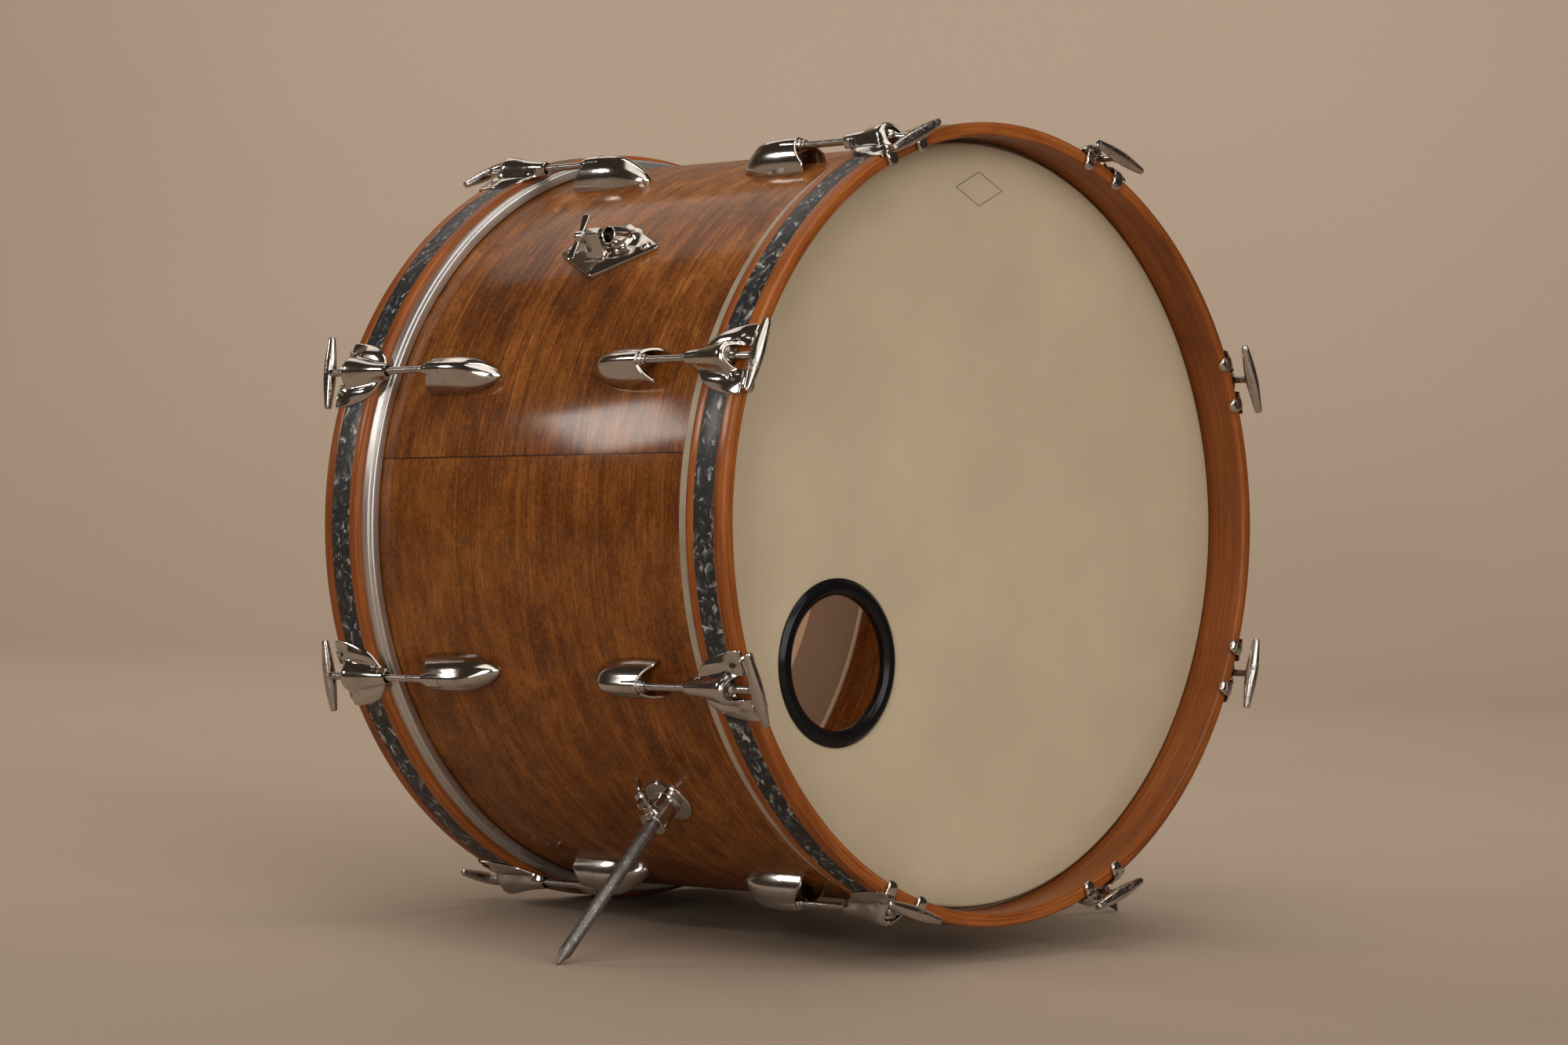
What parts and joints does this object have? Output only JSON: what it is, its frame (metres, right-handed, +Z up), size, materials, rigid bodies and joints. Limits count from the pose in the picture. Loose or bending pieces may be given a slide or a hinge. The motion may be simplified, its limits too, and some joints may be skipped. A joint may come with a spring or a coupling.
{
  "type": "bass drum",
  "caption": "Wood-shell bass drum with inlaid wood hoops, T-handle tension rods in claws and lugs, ported front head, diamond tom mount and sliding floor spurs.",
  "frame": {"origin": "On the floor plane, under the middle of the shell's axis; the drum stands on its spur points and the rear edge of its batter hoop.", "axes": "+Z up. +Y runs back from the resonant (front) head to the batter head, along the floor. +X is to the right as seen facing the resonant head."},
  "size_m": [0.617, 0.4886, 0.6081],
  "materials": {
    "shell_wood": "clear gloss lacquer over brown stained maple veneer",
    "hoop_wood": "clear lacquer over reddish brown stained maple",
    "inlay": "black pearl sheet",
    "head_film": "satin cream polyester film",
    "damping_film": "satin film",
    "flesh_metal": "satin",
    "chrome": "polished, lightly worn",
    "fixing_steel": "plated steel",
    "spur_steel": "dull worn steel",
    "port_plastic": "black gloss"
  },
  "bodies": {
    "drum": {"shell": "shell_wood", "resonant_hoop": "hoop_wood", "resonant_hoop_inlay": "inlay", "resonant_head": "head_film", "resonant_flesh_hoop": "flesh_metal", "resonant_claws": "chrome", "resonant_lugs": "chrome", "resonant_swivel_nuts": "fixing_steel", "resonant_lug_screws": "fixing_steel", "resonant_lug_washers": "fixing_steel", "batter_hoop": "hoop_wood", "batter_hoop_inlay": "inlay", "batter_head": "head_film", "batter_flesh_hoop": "flesh_metal", "batter_claws": "chrome", "batter_lugs": "chrome", "batter_swivel_nuts": "fixing_steel", "batter_lug_screws": "fixing_steel", "batter_lug_washers": "fixing_steel", "batter_damping_ring": "damping_film", "port_ring": "port_plastic", "port_ring_backing": "port_plastic", "tom_mount_bracket": "chrome", "tom_mount_screws": "chrome", "tom_mount_nuts": "fixing_steel", "left_spur_bracket": "chrome", "left_spur_end_disc": "chrome", "left_spur_lock_nut": "fixing_steel", "right_spur_bracket": "chrome", "right_spur_end_disc": "chrome", "right_spur_lock_nut": "fixing_steel", "vent_grommet": "chrome"},
    "resonant_tension_rod_1": {"resonant_tension_rod_1": "chrome"},
    "resonant_tension_rod_2": {"resonant_tension_rod_2": "chrome"},
    "resonant_tension_rod_3": {"resonant_tension_rod_3": "chrome"},
    "resonant_tension_rod_4": {"resonant_tension_rod_4": "chrome"},
    "resonant_tension_rod_5": {"resonant_tension_rod_5": "chrome"},
    "resonant_tension_rod_6": {"resonant_tension_rod_6": "chrome"},
    "resonant_tension_rod_7": {"resonant_tension_rod_7": "chrome"},
    "resonant_tension_rod_8": {"resonant_tension_rod_8": "chrome"},
    "batter_tension_rod_1": {"batter_tension_rod_1": "chrome"},
    "batter_tension_rod_2": {"batter_tension_rod_2": "chrome"},
    "batter_tension_rod_3": {"batter_tension_rod_3": "chrome"},
    "batter_tension_rod_4": {"batter_tension_rod_4": "chrome"},
    "batter_tension_rod_5": {"batter_tension_rod_5": "chrome"},
    "batter_tension_rod_6": {"batter_tension_rod_6": "chrome"},
    "batter_tension_rod_7": {"batter_tension_rod_7": "chrome"},
    "batter_tension_rod_8": {"batter_tension_rod_8": "chrome"},
    "left_spur_rod": {"left_spur_rod": "spur_steel", "left_spur_retaining_ring": "fixing_steel"},
    "left_spur_wing_bolt": {"left_spur_wing_bolt": "chrome"},
    "right_spur_rod": {"right_spur_rod": "spur_steel", "right_spur_retaining_ring": "fixing_steel"},
    "right_spur_wing_bolt": {"right_spur_wing_bolt": "chrome"},
    "tom_mount_wing_bolt": {"tom_mount_wing_bolt": "chrome"}
  },
  "joints": [
    {"name": "resonant_tension_rod_1_turn", "type": "hinge", "parent": "drum", "child": "resonant_tension_rod_1", "pos_m": [0.27384, -0.09296, 0.42322], "axis": [0, -0.9982, 0.0605], "continuous": true},
    {"name": "resonant_tension_rod_2_turn", "type": "hinge", "parent": "drum", "child": "resonant_tension_rod_2", "pos_m": [0.11343, -0.08326, 0.58334], "axis": [0, -0.9982, 0.0605], "continuous": true},
    {"name": "resonant_tension_rod_3_turn", "type": "hinge", "parent": "drum", "child": "resonant_tension_rod_3", "pos_m": [-0.11343, -0.08326, 0.58334], "axis": [0, -0.9982, 0.0605], "continuous": true},
    {"name": "resonant_tension_rod_4_turn", "type": "hinge", "parent": "drum", "child": "resonant_tension_rod_4", "pos_m": [-0.27384, -0.09296, 0.42322], "axis": [0, -0.9982, 0.0605], "continuous": true},
    {"name": "resonant_tension_rod_5_turn", "type": "hinge", "parent": "drum", "child": "resonant_tension_rod_5", "pos_m": [-0.27384, -0.10668, 0.19678], "axis": [0, -0.9982, 0.0605], "continuous": true},
    {"name": "resonant_tension_rod_6_turn", "type": "hinge", "parent": "drum", "child": "resonant_tension_rod_6", "pos_m": [-0.11343, -0.11637, 0.03667], "axis": [0, -0.9982, 0.0605], "continuous": true},
    {"name": "resonant_tension_rod_7_turn", "type": "hinge", "parent": "drum", "child": "resonant_tension_rod_7", "pos_m": [0.11343, -0.11637, 0.03667], "axis": [0, -0.9982, 0.0605], "continuous": true},
    {"name": "resonant_tension_rod_8_turn", "type": "hinge", "parent": "drum", "child": "resonant_tension_rod_8", "pos_m": [0.27384, -0.10668, 0.19678], "axis": [0, -0.9982, 0.0605], "continuous": true},
    {"name": "batter_tension_rod_1_turn", "type": "hinge", "parent": "drum", "child": "batter_tension_rod_1", "pos_m": [-0.27384, 0.10668, 0.41113], "axis": [0, 0.9982, -0.0605], "continuous": true},
    {"name": "batter_tension_rod_2_turn", "type": "hinge", "parent": "drum", "child": "batter_tension_rod_2", "pos_m": [-0.11343, 0.11637, 0.57125], "axis": [0, 0.9982, -0.0605], "continuous": true},
    {"name": "batter_tension_rod_3_turn", "type": "hinge", "parent": "drum", "child": "batter_tension_rod_3", "pos_m": [0.11343, 0.11637, 0.57125], "axis": [0, 0.9982, -0.0605], "continuous": true},
    {"name": "batter_tension_rod_4_turn", "type": "hinge", "parent": "drum", "child": "batter_tension_rod_4", "pos_m": [0.27384, 0.10668, 0.41113], "axis": [0, 0.9982, -0.0605], "continuous": true},
    {"name": "batter_tension_rod_5_turn", "type": "hinge", "parent": "drum", "child": "batter_tension_rod_5", "pos_m": [0.27384, 0.09296, 0.18469], "axis": [0, 0.9982, -0.0605], "continuous": true},
    {"name": "batter_tension_rod_6_turn", "type": "hinge", "parent": "drum", "child": "batter_tension_rod_6", "pos_m": [0.11343, 0.08326, 0.02457], "axis": [0, 0.9982, -0.0605], "continuous": true},
    {"name": "batter_tension_rod_7_turn", "type": "hinge", "parent": "drum", "child": "batter_tension_rod_7", "pos_m": [-0.11343, 0.08326, 0.02457], "axis": [0, 0.9982, -0.0605], "continuous": true},
    {"name": "batter_tension_rod_8_turn", "type": "hinge", "parent": "drum", "child": "batter_tension_rod_8", "pos_m": [-0.27384, 0.09296, 0.18469], "axis": [0, 0.9982, -0.0605], "continuous": true},
    {"name": "left_spur_slide", "type": "slide", "parent": "drum", "child": "left_spur_rod", "axis": [-0.7071, -0.0428, -0.7058], "range_m": [-0.115, 0.09]},
    {"name": "left_spur_wing_bolt_turn", "type": "hinge", "parent": "drum", "child": "left_spur_wing_bolt", "pos_m": [-0.22274, -0.07431, 0.11081], "axis": [-0.7071, 0.0428, 0.7058], "continuous": true},
    {"name": "right_spur_slide", "type": "slide", "parent": "drum", "child": "right_spur_rod", "axis": [0.7071, -0.0428, -0.7058], "range_m": [-0.115, 0.09]},
    {"name": "right_spur_wing_bolt_turn", "type": "hinge", "parent": "drum", "child": "right_spur_wing_bolt", "pos_m": [0.22274, -0.07431, 0.11081], "axis": [0.7071, 0.0428, 0.7058], "continuous": true},
    {"name": "tom_mount_wing_bolt_turn", "type": "hinge", "parent": "drum", "child": "tom_mount_wing_bolt", "pos_m": [-0.20966, 0.02561, 0.51174], "axis": [0, 0.9982, -0.0605], "range_deg": [-20, 50]}
  ]
}
